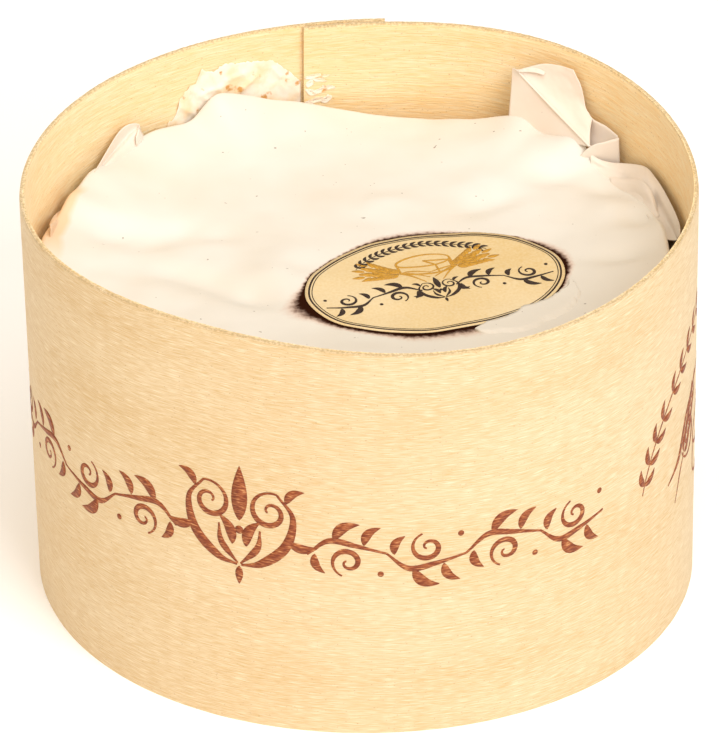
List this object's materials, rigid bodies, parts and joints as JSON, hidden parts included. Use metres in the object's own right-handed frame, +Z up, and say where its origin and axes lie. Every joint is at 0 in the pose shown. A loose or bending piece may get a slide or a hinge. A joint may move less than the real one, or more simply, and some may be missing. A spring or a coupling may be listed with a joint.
{
  "type": "soft-ripened cheese wheel in a round veneer box",
  "caption": "Small soft-ripened cheese wheel wrapped in waxed paper with an oval label, standing in a tall round box of peeled poplar veneer with no lid.",
  "frame": {"origin": "centre of the footprint's bounding box, on the plane that the box stands on", "axes": "+Z up out of the box's mouth; -Y the front, where the printed ornament is; +X to the right of the front"},
  "size_m": [0.0922, 0.092, 0.0595],
  "materials": {
    "peeled_poplar": "matte",
    "base_poplar": "matte",
    "waxed_paper": "satin",
    "torn_paper": "satin",
    "printed_label": "gloss",
    "bloomy_rind": "matte"
  },
  "bodies": {
    "root": {"box_band": "peeled_poplar", "box_base": "base_poplar", "cheese_wheel": "bloomy_rind", "wrap_paper": "waxed_paper", "torn_paper_scrap": "torn_paper", "oval_label": "printed_label"}
  },
  "joints": []
}
